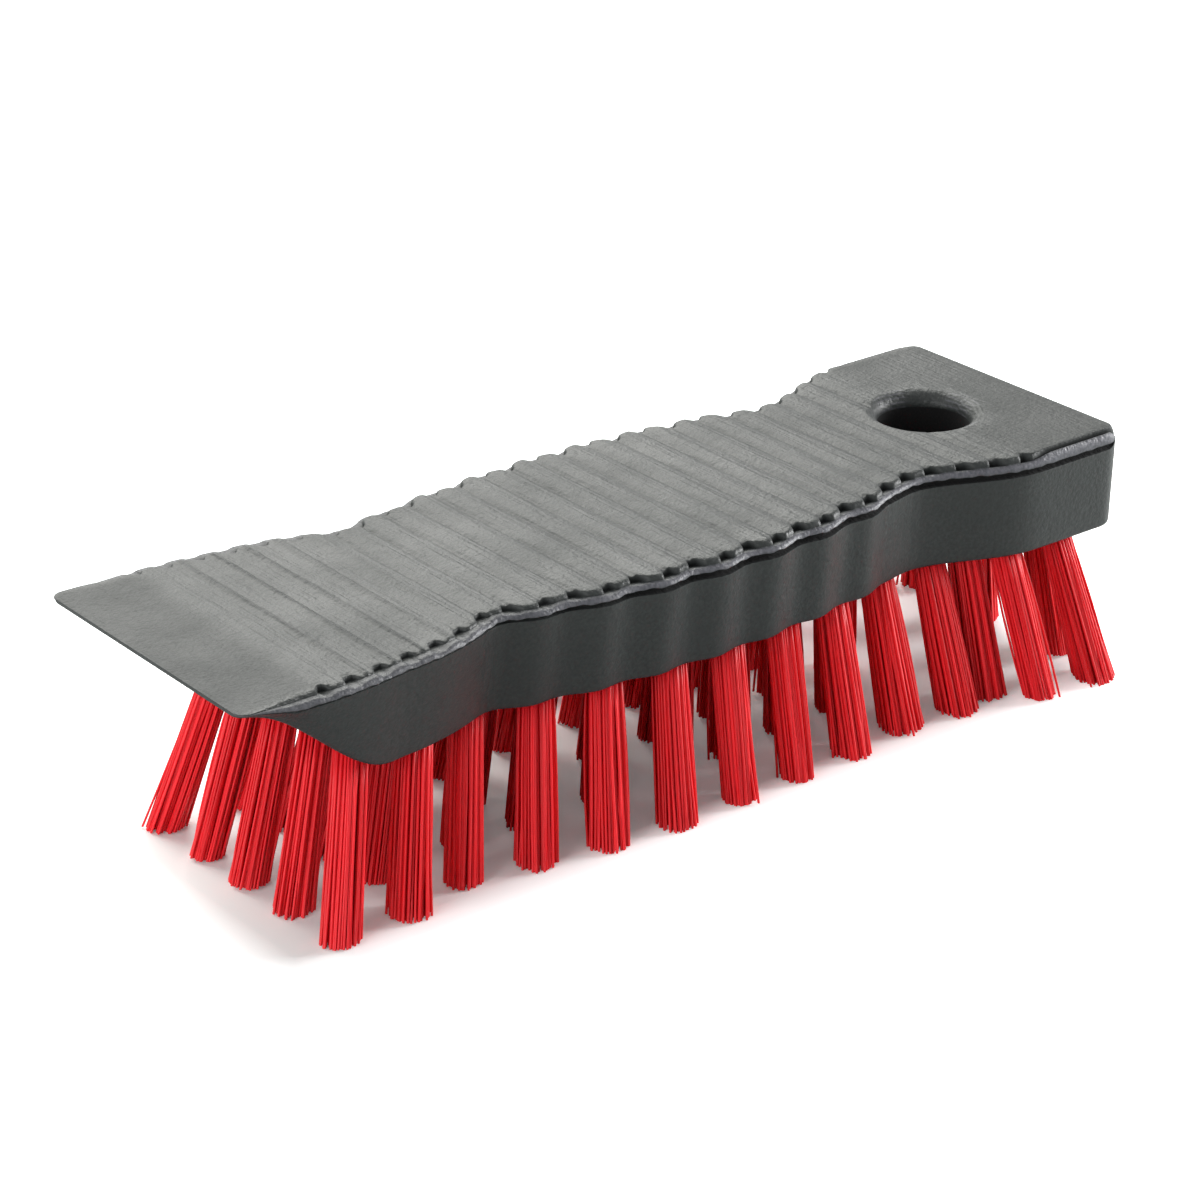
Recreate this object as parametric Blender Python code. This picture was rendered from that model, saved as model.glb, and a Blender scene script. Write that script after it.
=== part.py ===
# Hand scrub brush: a moulded plastic block with a scraper nose, a ribbed grip and a hang hole,
# and red bristle tufts, each folded over its anchor and seated in a blind hole of the block.
# Metres, +Z up. X runs along the brush from the scraper edge (-X) to the hang hole end (+X).
# The brush stands on its bristle tips at z = 0, and the origin is the centre of its footprint.

import math

import bmesh
import bpy

MM = 0.001

# Lengths of the block's sections, one after the other from the scraper edge
NOSE_LENGTH = 37.0 * MM
FRONT_LENGTH = 25.0 * MM
FRONT_FLANK_LENGTH = 54.5 * MM
REAR_FLANK_LENGTH = 54.0 * MM
REAR_SWELL_LENGTH = 29.0 * MM
REAR_LAND_LENGTH = 25.5 * MM

# Half widths where those sections meet, at the foot of the wall and under the top edge
FOOT_HALF_WIDTHS = {
    "nose": 32.6 * MM,
    "front": 28.4 * MM,
    "front_waist": 22.6 * MM,
    "belly": 30.4 * MM,
    "rear_waist": 24.4 * MM,
    "rear": 33.0 * MM,
}
BROW_HALF_WIDTHS = {
    "nose": 33.2 * MM,
    "front": 33.2 * MM,
    "front_waist": 26.4 * MM,
    "belly": 32.4 * MM,
    "rear_waist": 25.4 * MM,
    "rear": 33.6 * MM,
}
NOSE_BULGE = 1.9 * MM
WAIST_BLEND = 2.5 * MM

# Block section
BLOCK_THICKNESS = 22.5 * MM
SCRAPER_LIP = 0.8 * MM
FOOT_CHAMFER = 0.8 * MM
FRONT_EDGE_DROP = 3.4 * MM
EDGE_DROP = 4.4 * MM
REAR_EDGE_DROP = 2.6 * MM
EDGE_INSET_LAND = 3.2 * MM
EDGE_INSET_CREST = 2.4 * MM
EDGE_INSET_VALLEY = 4.4 * MM
NOSE_CORNER_RADIUS = 3.2 * MM
REAR_CORNER_RADIUS = 4.5 * MM
REAR_EDGE_RADIUS = 2.4 * MM
EDGE_THICKNESS_SHARE = 0.38
CHAMFER_THICKNESS_SHARE = 0.2

# Grip ribs across the top, and the finger scallops down the walls, one to every two ribs
SMOOTH_NOSE_LENGTH = 20.6 * MM
RIB_COUNT = 25
RIB_DEPTH = 0.6 * MM
RIB_PAST_HANG_HOLE = 2.35 * MM
RIB_STATION_SHARES = (0.0, 0.2, 0.5, 0.8)
LAND_EASE_SHARE = 0.3
RIBS_PER_SCALLOP = 2
RIBS_BEFORE_SCALLOPS = 6
SCALLOP_COUNT = 7
SCALLOP_DEPTH = 1.0 * MM

# Hang hole
HANG_HOLE_DIAMETER = 21.0 * MM
HANG_HOLE_FROM_END = 28.0 * MM
HANG_HOLE_RIM = 2.2 * MM
HANG_HOLE_FACETS = 32
RIM_ANGLE_SHARES = (0.0, 0.3, 0.6, 0.85)

# Tuft rows from the near side, with the side that each is on. Rows 1 and 5 are the outer ones.
ROW_SHARES = (("outer", -1.0), ("second", -1.0), ("middle", 1.0), ("second", 1.0), ("outer", 1.0))
# The tufts of a row, from the first column of tufts to the last. The inner rows leave the hang hole free.
ALONG_SHARES = {
    "outer": (0.0, 0.083, 0.167, 0.25, 0.333, 0.417, 0.5, 0.583, 0.667, 0.75, 0.827, 0.92, 1.0),
    "second": (0.0, 0.098, 0.21, 0.292, 0.384, 0.484, 0.563, 0.645, 0.725, 0.882, 1.024),
    "middle": (0.0, 0.092, 0.18, 0.268, 0.353, 0.441, 0.525, 0.611, 0.7, 0.787, 1.017),
}
# How far out they are, from the middle line to the outer rows
ACROSS_SHARES = {
    "outer": (1.0,) * 13,
    "second": (0.5,) * 9 + (0.845, 0.62),
    "middle": (0.0,) * 11,
}
# How much they lean along the brush. Those around the hang hole stand straighter than their neighbours.
LEAN_SHARES = {
    "outer": (1.0,) * 13,
    "second": (1.0,) * 9 + (0.5, 0.75),
    "middle": (1.0,) * 10 + (0.6,),
}
FIRST_TUFT_FROM_NOSE = 31.0 * MM
LAST_TUFT_FROM_END = 14.0 * MM
TUFT_EDGE_WEB = 2.4 * MM
FRONT_ROW_EXTRA_WEB = 2.0 * MM

# Tufts: how far the tips lean out from the roots, and their size
TRIM = 33.0 * MM
NOSE_LEAN = 8.5 * MM
REAR_LEAN = 4.7 * MM
LEAN_CURVE_SHARE = 0.45
NOSE_SIDE_LEAN = 7.5 * MM
REAR_SIDE_LEAN = 10.2 * MM
SIDE_LEAN_CURVE_SHARE = 0.35
TUFT_HOLE_DIAMETER = 7.2 * MM
TUFT_HOLE_DEPTH = 13.0 * MM
TUFT_CLEARANCE = 0.3 * MM
TUFT_FACETS = 8
ROOT_RECESS = 1.0 * MM
FOLD_HEIGHT = 1.2 * MM
FOLD_SHARE = 0.6
RING_STRANDS = 7
STRAND_RADIUS = 0.95 * MM
STRAND_SIDES = 3
RING_RADIUS_SHARE = 0.65
TIP_RADIUS = 3.9 * MM

CUT_OVERRUN = 1.5 * MM
NOSE_STATION_SHARES = (0.2, 0.32, 0.44)
CORNER_STEPS = 4

PLASTIC = ("block_plastic", (0.085, 0.087, 0.083, 1.0), 0.55)
BRISTLE = ("red_bristle", (0.62, 0.012, 0.02, 1.0), 0.4)

# Places along the length
BLOCK_LENGTH = (
    NOSE_LENGTH + FRONT_LENGTH + FRONT_FLANK_LENGTH + REAR_FLANK_LENGTH + REAR_SWELL_LENGTH + REAR_LAND_LENGTH
)
X_NOSE = -BLOCK_LENGTH / 2
X_FRONT = X_NOSE + NOSE_LENGTH
X_FRONT_WAIST = X_FRONT + FRONT_LENGTH
X_BELLY = X_FRONT_WAIST + FRONT_FLANK_LENGTH
X_REAR_WAIST = X_BELLY + REAR_FLANK_LENGTH
X_END = BLOCK_LENGTH / 2
X_HANG_HOLE = X_END - HANG_HOLE_FROM_END
X_FIRST_RIB = X_NOSE + SMOOTH_NOSE_LENGTH
X_LAST_RIB = X_HANG_HOLE + RIB_PAST_HANG_HOLE
RIB_PITCH = (X_LAST_RIB - X_FIRST_RIB) / RIB_COUNT

# Heights
Z_UNDERSIDE = TRIM
Z_TOP = Z_UNDERSIDE + BLOCK_THICKNESS

TUFT_HOLE_RADIUS = TUFT_HOLE_DIAMETER / 2
ROOT_RADIUS = TUFT_HOLE_RADIUS - TUFT_CLEARANCE


def clear_scene():
    for found in list(bpy.data.objects):
        bpy.data.objects.remove(found, do_unlink=True)


def ease(share):
    share = min(max(share, 0.0), 1.0)
    return share * share * (3.0 - 2.0 * share)


def blend(start, end, share):
    return start + (end - start) * share


def curve(share, bend):
    # From 0 to 1 as a straight run mixed with a square: the higher the bend, the later it rises.
    return blend(share, share * share, bend)


def arch(share):
    # A convex arc over one pitch: 0 in the valleys and 1 on the crest.
    return 4.0 * share * (1.0 - share)


def outline(x, widths):
    # A slight bulge along the nose, then convex flanks that meet in the two waists.
    if x < X_FRONT:
        share = (x - X_NOSE) / NOSE_LENGTH
        return blend(widths["nose"], widths["front"], share) + NOSE_BULGE * arch(share)
    if x < X_FRONT_WAIST:
        return blend(widths["front"], widths["front_waist"], ((x - X_FRONT) / FRONT_LENGTH) ** 2)
    if x < X_BELLY:
        return blend(widths["belly"], widths["front_waist"], ((X_BELLY - x) / FRONT_FLANK_LENGTH) ** 2)
    if x < X_REAR_WAIST:
        return blend(widths["belly"], widths["rear_waist"], ((x - X_BELLY) / REAR_FLANK_LENGTH) ** 2)
    return blend(widths["rear_waist"], widths["rear"], ease((x - X_REAR_WAIST) / REAR_SWELL_LENGTH))


def soft_outline(x, widths):
    # The mean over a short length rounds the waists off.
    before = outline(x - WAIST_BLEND, widths)
    after = outline(x + WAIST_BLEND, widths)
    return (before + 2.0 * outline(x, widths) + after) / 4.0


def corner_inset(x):
    # How far the rounded corners draw the walls in, in plan.
    if x < X_NOSE + NOSE_CORNER_RADIUS:
        radius = NOSE_CORNER_RADIUS
        reach = X_NOSE + radius - x
    elif x > X_END - REAR_CORNER_RADIUS:
        radius = REAR_CORNER_RADIUS
        reach = x - (X_END - radius)
    else:
        return 0.0
    return radius - math.sqrt(max(radius**2 - reach**2, 0.0))


def rib_share(x):
    # Where x lies within its rib, 0 to 1, or None off the ribs.
    place = (x - X_FIRST_RIB) / RIB_PITCH
    if place < 0.0 or place > RIB_COUNT:
        return None
    return place - math.floor(place)


def scallop(x):
    place = (x - X_FIRST_RIB) / RIB_PITCH - RIBS_BEFORE_SCALLOPS
    place = place / RIBS_PER_SCALLOP
    if place < 0.0 or place > SCALLOP_COUNT:
        return 0.0
    return SCALLOP_DEPTH * arch(place - math.floor(place))


def underside_rise(x):
    # The scraper's underside sweeps up in an ogee from the flat underside to the thin lip.
    return (BLOCK_THICKNESS - SCRAPER_LIP) * ease((X_FRONT - x) / NOSE_LENGTH)


def edge_drop(x, thickness):
    # The rounded top edge deepens along the front flank and narrows along the rear land.
    front = blend(FRONT_EDGE_DROP, EDGE_DROP, ease((x - X_NOSE) / (X_BELLY - X_NOSE)))
    drop = blend(front, REAR_EDGE_DROP, ease((x - X_END + REAR_LAND_LENGTH) / REAR_LAND_LENGTH))
    return min(drop, thickness * EDGE_THICKNESS_SHARE)


def rear_edge_drop(x):
    reach = x - (X_END - REAR_EDGE_RADIUS)
    if reach <= 0.0:
        return 0.0
    return REAR_EDGE_RADIUS - math.sqrt(max(REAR_EDGE_RADIUS**2 - reach**2, 0.0))


def block_ring(x):
    # One cross-section of the block as (y, z) points, from the right foot over the top to the left foot.
    share = rib_share(x)
    crest = 1.0 if share is None else arch(share)
    bottom = Z_UNDERSIDE + underside_rise(x)
    top = Z_TOP - rear_edge_drop(x)
    thickness = top - bottom
    chamfer = min(FOOT_CHAMFER, thickness * CHAMFER_THICKNESS_SHARE)
    drop = edge_drop(x, thickness)
    inset = EDGE_INSET_LAND if share is None else blend(EDGE_INSET_VALLEY, EDGE_INSET_CREST, crest)
    inset = inset * min(drop / FRONT_EDGE_DROP, 1.0)
    groove = RIB_DEPTH * (1.0 - crest)
    foot = soft_outline(x, FOOT_HALF_WIDTHS) + scallop(x) - corner_inset(x)
    brow = soft_outline(x, BROW_HALF_WIDTHS) + scallop(x) - corner_inset(x)
    half = [(foot - chamfer, bottom), (foot, bottom + chamfer), (brow, top - drop)]
    for turn in (math.pi / 6, math.pi / 3, math.pi / 2):
        y = brow - inset * (1.0 - math.cos(turn))
        z = top - drop + (drop - groove) * math.sin(turn)
        half.append((y, z))
    return half + [(-y, z) for y, z in reversed(half)]


def corner_stations(start, radius, direction):
    # Closely spaced where the corner turns fastest.
    turns = [math.pi / 2 * step / CORNER_STEPS for step in range(CORNER_STEPS + 1)]
    return [start + direction * radius * (1.0 - math.cos(turn)) for turn in turns]


def stations():
    places = corner_stations(X_NOSE, NOSE_CORNER_RADIUS, 1.0)
    places += [X_NOSE + NOSE_LENGTH * share for share in NOSE_STATION_SHARES]
    places.append(X_FIRST_RIB - RIB_PITCH * LAND_EASE_SHARE)
    for rib in range(RIB_COUNT):
        places += [X_FIRST_RIB + RIB_PITCH * (rib + share) for share in RIB_STATION_SHARES]
    places += [X_LAST_RIB, X_LAST_RIB + RIB_PITCH * LAND_EASE_SHARE, X_FRONT]
    places += corner_stations(X_END, REAR_CORNER_RADIUS, -1.0)
    places.append(X_END - REAR_EDGE_RADIUS)
    places.append(X_END - REAR_LAND_LENGTH / 2)
    return sorted(set(places))


def material(finish):
    name, colour, roughness = finish
    made = bpy.data.materials.get(name) or bpy.data.materials.new(name)
    made.use_nodes = True
    shader = made.node_tree.nodes["Principled BSDF"]
    shader.inputs["Base Color"].default_value = colour
    shader.inputs["Roughness"].default_value = roughness
    shader.inputs["Metallic"].default_value = 0.0
    return made


def add_object(name, bm, finish=None, place=(0.0, 0.0, 0.0)):
    bmesh.ops.recalc_face_normals(bm, faces=bm.faces)
    mesh = bpy.data.meshes.new(name)
    bm.to_mesh(mesh)
    bm.free()
    made = bpy.data.objects.new(name, mesh)
    made.location = place
    bpy.context.scene.collection.objects.link(made)
    if finish:
        mesh.materials.append(material(finish))
    return made


def loft_block():
    bm = bmesh.new()
    places = stations()
    rings = [[bm.verts.new((x, y, z)) for y, z in block_ring(x)] for x in places]
    last = len(rings[0]) - 1
    for near, far in zip(rings, rings[1:]):
        for i in range(last):
            bm.faces.new((near[i], near[i + 1], far[i + 1], far[i]))
    bm.faces.new(rings[0])
    bm.faces.new(rings[-1])
    flat = [ring for x, ring in zip(places, rings) if underside_rise(x) == 0.0]
    sweep = rings[: len(rings) - len(flat) + 1]
    for near, far in zip(sweep, sweep[1:]):
        bm.faces.new((near[last], near[0], far[0], far[last]))
    bm.faces.new([ring[0] for ring in flat] + [ring[last] for ring in reversed(flat)])
    return add_object("block", bm, PLASTIC)


def as_cutter(cutter, target):
    cutter.hide_render = True
    cutter.display_type = "WIRE"
    cut = target.modifiers.new(cutter.name, "BOOLEAN")
    cut.operation = "DIFFERENCE"
    cut.solver = "EXACT"
    cut.object = cutter


def hang_hole_profile():
    # (radius, z) up the bore and out over the rounded rim.
    radius = HANG_HOLE_DIAMETER / 2
    points = [(radius, Z_UNDERSIDE - CUT_OVERRUN)]
    for share in RIM_ANGLE_SHARES:
        turn = math.pi / 2 * share
        out = HANG_HOLE_RIM * (1.0 - math.cos(turn))
        up = HANG_HOLE_RIM * math.sin(turn)
        points.append((radius + out, Z_TOP - HANG_HOLE_RIM + up))
    points.append((radius + HANG_HOLE_RIM + CUT_OVERRUN, Z_TOP + CUT_OVERRUN / 2))
    return points


def hang_hole_cutter():
    bm = bmesh.new()
    rings = []
    for radius, z in hang_hole_profile():
        turns = [2 * math.pi * i / HANG_HOLE_FACETS for i in range(HANG_HOLE_FACETS)]
        rings.append([bm.verts.new((radius * math.cos(a), radius * math.sin(a), z)) for a in turns])
    for low, high in zip(rings, rings[1:]):
        bridge(bm, low, high)
    bm.faces.new(rings[0])
    bm.faces.new(rings[-1])
    return add_object("hang_hole_cutter", bm, place=(X_HANG_HOLE, 0.0, 0.0))


def bridge(bm, low, high):
    for i in range(len(low)):
        j = (i + 1) % len(low)
        bm.faces.new((low[i], low[j], high[j], high[i]))


def polygon(radius, sides, turn=0.0):
    angles = [turn + 2 * math.pi * i / sides for i in range(sides)]
    return [(radius * math.cos(a), radius * math.sin(a)) for a in angles]


def tuft_places():
    # (name, x, y, lean_x, lean_y) for each tuft, row by row from the near side.
    first = X_NOSE + FIRST_TUFT_FROM_NOSE
    last = X_END - LAST_TUFT_FROM_END
    found = []
    for row, (kind, side) in enumerate(ROW_SHARES, 1):
        shares = zip(ALONG_SHARES[kind], ACROSS_SHARES[kind], LEAN_SHARES[kind])
        for number, (along, across, lean) in enumerate(shares, 1):
            x = blend(first, last, along)
            outermost = soft_outline(x, FOOT_HALF_WIDTHS) - TUFT_EDGE_WEB - TUFT_HOLE_RADIUS
            outermost -= FRONT_ROW_EXTRA_WEB if along == 0.0 else 0.0
            lean_x = lean * blend(-NOSE_LEAN, REAR_LEAN, curve(along, LEAN_CURVE_SHARE))
            lean_y = side * side_lean(along, across)
            found.append((f"tuft_{row}_{number:02d}", x, side * across * outermost, lean_x, lean_y))
    return found


def side_lean(along, across):
    # The outer rows lean out the most, and more so towards the rear.
    return curve(across, SIDE_LEAN_CURVE_SHARE) * blend(NOSE_SIDE_LEAN, REAR_SIDE_LEAN, along)


def leaning(points, height, lean):
    # Points of the tuft's frame at a height over the underside, moved along its lean.
    shift = -height / TRIM
    return [(x + lean[0] * shift, y + lean[1] * shift, height) for x, y in points]


def tuft_hole_cutters():
    bm = bmesh.new()
    section = polygon(TUFT_HOLE_RADIUS, TUFT_FACETS)
    for _, x, y, *lean in tuft_places():
        rings = []
        for height in (-CUT_OVERRUN, TUFT_HOLE_DEPTH):
            ring = leaning(section, height, lean)
            rings.append([bm.verts.new((x + px, y + py, Z_UNDERSIDE + pz)) for px, py, pz in ring])
        bridge(bm, *rings)
        bm.faces.new(rings[0])
        bm.faces.new(rings[1])
    return add_object("tuft_hole_cutters", bm)


def strand_centres(radius):
    return [(0.0, 0.0)] + polygon(radius, RING_STRANDS)


def strand_section(centre):
    # A triangle with one corner towards the tuft's axis, so that neighbours stay apart.
    turn = math.atan2(centre[1], centre[0]) + math.pi
    return [(centre[0] + x, centre[1] + y) for x, y in polygon(STRAND_RADIUS, STRAND_SIDES, turn)]


def add_strand(bm, root, lean, root_height, tip_centre):
    centre = (sum(v.co.x for v in root) / len(root), sum(v.co.y for v in root) / len(root))
    shape = [(v.co.x - centre[0] + tip_centre[0], v.co.y - centre[1] + tip_centre[1]) for v in root]
    tips = [bm.verts.new(point) for point in leaning(shape, -TRIM, lean)]
    bridge(bm, root, tips)
    bm.faces.new(tips)


def add_fold(bm, rim, lean, height):
    # The strands fold over the anchor in a ridge across the top of the root.
    reach = ROOT_RADIUS * FOLD_SHARE
    ends = [bm.verts.new(point) for point in leaning([(0.0, reach), (0.0, -reach)], height, lean)]
    quarter = TUFT_FACETS // 4
    for side, (near, far) in enumerate((ends, reversed(ends))):
        arc = [rim[(3 * quarter + 2 * quarter * side + i) % TUFT_FACETS] for i in range(2 * quarter + 1)]
        middle = arc[quarter]
        for a, b in zip(arc[:quarter], arc[1:]):
            bm.faces.new((far, a, b))
        bm.faces.new((far, middle, near))
        for a, b in zip(arc[quarter:], arc[quarter + 1 :]):
            bm.faces.new((near, a, b))


def build_tuft(name, x, y, *lean):
    # The root is the folded end of the tuft. It stays in its hole, and the strands start under it.
    bm = bmesh.new()
    low = underside_rise(x - TUFT_HOLE_RADIUS) + ROOT_RECESS
    high = TUFT_HOLE_DEPTH - TUFT_CLEARANCE - FOLD_HEIGHT
    section = polygon(ROOT_RADIUS, TUFT_FACETS)
    lower = [bm.verts.new(point) for point in leaning(section, low, lean)]
    upper = [bm.verts.new(point) for point in leaning(section, high, lean)]
    bridge(bm, lower, upper)
    add_fold(bm, upper, lean, high + FOLD_HEIGHT)
    strands = []
    for centre in strand_centres(ROOT_RADIUS * RING_RADIUS_SHARE):
        strands.append([bm.verts.new(point) for point in leaning(strand_section(centre), low, lean)])
    loops = [lower] + strands
    edges = []
    for loop in loops:
        for a, b in zip(loop, loop[1:] + loop[:1]):
            edges.append(bm.edges.get((a, b)) or bm.edges.new((a, b)))
    bmesh.ops.triangle_fill(bm, use_beauty=True, use_dissolve=False, edges=edges)
    for root, tip in zip(strands, strand_centres(TIP_RADIUS)):
        add_strand(bm, root, lean, low, tip)
    return add_object(name, bm, BRISTLE, place=(x, y, Z_UNDERSIDE))


def build():
    clear_scene()
    block = loft_block()
    as_cutter(hang_hole_cutter(), block)
    as_cutter(tuft_hole_cutters(), block)
    for place in tuft_places():
        build_tuft(*place)
    print(f"block {BLOCK_LENGTH / MM:.1f} mm long, {len(tuft_places())} tufts")


build()
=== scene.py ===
import math

import bpy
import numpy as np
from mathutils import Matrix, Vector


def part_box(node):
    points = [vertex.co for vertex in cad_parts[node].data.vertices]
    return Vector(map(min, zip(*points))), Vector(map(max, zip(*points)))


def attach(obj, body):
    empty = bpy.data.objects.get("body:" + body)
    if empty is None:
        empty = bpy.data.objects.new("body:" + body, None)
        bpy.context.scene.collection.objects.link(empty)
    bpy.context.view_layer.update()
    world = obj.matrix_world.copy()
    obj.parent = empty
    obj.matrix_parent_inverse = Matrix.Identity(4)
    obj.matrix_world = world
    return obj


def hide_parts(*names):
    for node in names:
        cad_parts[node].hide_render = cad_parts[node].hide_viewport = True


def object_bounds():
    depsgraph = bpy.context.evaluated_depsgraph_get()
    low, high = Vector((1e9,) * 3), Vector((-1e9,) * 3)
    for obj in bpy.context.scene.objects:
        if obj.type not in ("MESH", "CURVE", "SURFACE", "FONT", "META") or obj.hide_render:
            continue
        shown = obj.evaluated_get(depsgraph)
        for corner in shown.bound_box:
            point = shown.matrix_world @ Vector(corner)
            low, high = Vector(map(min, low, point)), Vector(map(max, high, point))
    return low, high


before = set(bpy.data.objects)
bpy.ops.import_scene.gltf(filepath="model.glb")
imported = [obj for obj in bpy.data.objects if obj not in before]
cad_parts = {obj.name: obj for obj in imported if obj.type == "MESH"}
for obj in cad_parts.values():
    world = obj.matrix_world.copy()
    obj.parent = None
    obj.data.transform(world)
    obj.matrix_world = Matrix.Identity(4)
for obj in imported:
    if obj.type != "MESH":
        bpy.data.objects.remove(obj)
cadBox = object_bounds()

mm = 0.001


# The block: a moulded plastic body with a scraper nose, grip ribs and a hang hole.
# The half widths hold at the nose, the front, the front waist, the belly, the rear waist and the rear end.
blockShape = {
    "noseLength": 37.0 * mm,
    "frontLength": 25.0 * mm,
    "frontFlankLength": 54.5 * mm,
    "rearFlankLength": 54.0 * mm,
    "rearSwellLength": 29.0 * mm,
    "footHalfWidths": (32.6 * mm, 28.4 * mm, 22.6 * mm, 30.4 * mm, 24.4 * mm, 33.0 * mm),
    "browHalfWidths": (33.2 * mm, 33.2 * mm, 26.4 * mm, 32.4 * mm, 25.4 * mm, 33.6 * mm),
    "noseBulge": 1.9 * mm,
    "waistBlend": 2.5 * mm,
    "scraperLip": 0.8 * mm,
    "noseCornerRadius": 2.0 * mm,
    "rearCornerRadius": 5.5 * mm,
    "rearTopRadius": 2.4 * mm,
    "rearFootRadius": 2.2 * mm,
    "footRadius": 0.9 * mm,
    "footShareOfThickness": 0.2,
    "sharpAngle": 38.0,
}

# How finely the block's surface is divided: sections along it, and lines across each section
blockGrid = {
    "cornerSections": 8,
    "landSections": 14,
    "landGap": 0.2,  # in ribs, between the first or last rib and the next section
    "sectionsPerRib": 22,
    "underShares": (0.0, 0.25, 0.5, 0.75),
    "wallShares": (0.2, 0.4, 0.6, 0.8),
    "topShares": (0.95, 0.85, 0.7, 0.5, 0.25, 0.0),
    "padSteps": 5,
}

gripShape = {
    "smoothNose": 18.1 * mm,
    "ribCount": 26,
    "ribDepth": 0.26 * mm,
    "creaseDepth": 0.3 * mm,
    "creaseWidth": 1.0 * mm,
    "ridgeHeight": 0.34 * mm,  # towards the nose the ribs thin out to narrow ridges
    "ridgeWidth": 0.85 * mm,
    "ridgeReach": 1.6,  # in front lengths, from the front to where the last ridge has turned into a wave
    "ribFades": (1.3, 0.8),  # in ribs, at the nose and at the hang hole
    "pastHangHole": -0.3 * mm,
    "landTone": -0.075,  # painted shade: the plain lands at both ends are a little darker and rougher than the ribs
    "landToneLead": 0.5,
    "firstScallop": 63.5 * mm,
    "scallopPitch": 14.15 * mm,
    "scallopCount": 7,
    "scallopDepth": 1.3 * mm,
}

hangHole = {
    "diameter": 20.2 * mm,
    "fromEnd": 28.0 * mm,
    "rimWidth": 3.0 * mm,
    "rimDepth": 3.3 * mm,
    "rimSteps": 14,
    "facets": 96,
    "cutterBelow": 2.0 * mm,
    "cutterAbove": 1.0 * mm,
    "cutterFlare": 1.1,
    "shadeMargins": (0.2 * mm, 0.3 * mm),  # how far past the bore its painted shade reaches, out and up
}


def ease(share):
    share = min(max(share, 0.0), 1.0)
    return share * share * (3.0 - 2.0 * share)


def blend(start, end, share):
    return start + (end - start) * share


def arch(share):
    return 4.0 * share * (1.0 - share)


def blockPlaces():
    # Where the block's sections meet, taken from the CAD box.
    low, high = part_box("block")
    at = {"nose": low.x, "end": high.x, "underside": low.z, "top": high.z}
    at["front"] = at["nose"] + blockShape["noseLength"]
    at["frontWaist"] = at["front"] + blockShape["frontLength"]
    at["belly"] = at["frontWaist"] + blockShape["frontFlankLength"]
    at["rearWaist"] = at["belly"] + blockShape["rearFlankLength"]
    at["hangHole"] = at["end"] - hangHole["fromEnd"]
    at["firstRib"] = at["nose"] + gripShape["smoothNose"]
    at["lastRib"] = at["hangHole"] + gripShape["pastHangHole"]
    at["ribPitch"] = (at["lastRib"] - at["firstRib"]) / gripShape["ribCount"]
    return at


place = blockPlaces()


def outline(x, widths):
    nose, front, frontWaist, belly, rearWaist, rear = widths
    if x < place["front"]:
        share = (x - place["nose"]) / blockShape["noseLength"]
        return blend(nose, front, share) + blockShape["noseBulge"] * arch(share)
    if x < place["frontWaist"]:
        return blend(front, frontWaist, ((x - place["front"]) / blockShape["frontLength"]) ** 2)
    if x < place["belly"]:
        return blend(belly, frontWaist, ((place["belly"] - x) / blockShape["frontFlankLength"]) ** 2)
    if x < place["rearWaist"]:
        return blend(belly, rearWaist, ((x - place["belly"]) / blockShape["rearFlankLength"]) ** 2)
    return blend(rearWaist, rear, ease((x - place["rearWaist"]) / blockShape["rearSwellLength"]))


def softOutline(x, widths):
    reach = blockShape["waistBlend"]
    return (outline(x - reach, widths) + 2.0 * outline(x, widths) + outline(x + reach, widths)) / 4.0


def cornerInset(x):
    # How far the rounded corners draw the walls in, in plan.
    nose, rear = blockShape["noseCornerRadius"], blockShape["rearCornerRadius"]
    if x < place["nose"] + nose:
        return nose - math.sqrt(max(nose**2 - (place["nose"] + nose - x) ** 2, 0.0))
    if x > place["end"] - rear:
        return rear - math.sqrt(max(rear**2 - (x - place["end"] + rear) ** 2, 0.0))
    return 0.0


def endDrop(x, radius):
    # How far the rounding at the rear end takes the surface down or up.
    reach = x - (place["end"] - radius)
    return radius - math.sqrt(max(radius**2 - reach**2, 0.0)) if reach > 0.0 else 0.0


def noseRise(x):
    # How far the underside has swept up towards the scraper's lip.
    height = place["top"] - place["underside"] - blockShape["scraperLip"]
    return height * ease((place["front"] - x) / blockShape["noseLength"])


def scallop(x):
    at = (x - place["nose"] - gripShape["firstScallop"]) / gripShape["scallopPitch"]
    if at < 0.0 or at > gripShape["scallopCount"]:
        return 0.0
    return gripShape["scallopDepth"] * (0.5 - 0.5 * math.cos(2 * math.pi * at))


def ribShare(x):
    # Where x lies within its rib, 0 to 1, or None off the ribs.
    at = (x - place["firstRib"]) / place["ribPitch"]
    if at < 0.0 or at > gripShape["ribCount"]:
        return None
    return at - math.floor(at)


def offRibs(x):
    # How far x lies past the first or the last rib. It is negative on the ribs.
    return max(place["firstRib"] - x, x - place["lastRib"])


def padDip(x):
    # How far the pad lies under its highest line. It has waves on the grip and narrow ridges near the nose.
    share = ribShare(x)
    if share is None:
        return 0.0
    shape = gripShape
    wavy = ease((x - place["front"]) / (place["frontWaist"] - place["front"]) / shape["ridgeReach"])
    start = ease((x - place["firstRib"]) / place["ribPitch"] / shape["ribFades"][0])
    stop = ease((place["lastRib"] - x) / place["ribPitch"] / shape["ribFades"][1])
    ridge = math.exp(-(((share - 0.5) * place["ribPitch"] / (shape["ridgeWidth"] / 2)) ** 2))
    crease = math.exp(-((min(share, 1.0 - share) * place["ribPitch"] / (shape["creaseWidth"] / 2)) ** 2))
    wave = shape["ribDepth"] * (0.5 + 0.5 * math.cos(2 * math.pi * share)) + shape["creaseDepth"] * crease
    dip = blend(shape["ridgeHeight"] * (1.0 - ridge), wave, wavy)
    return dip * start * stop
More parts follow.
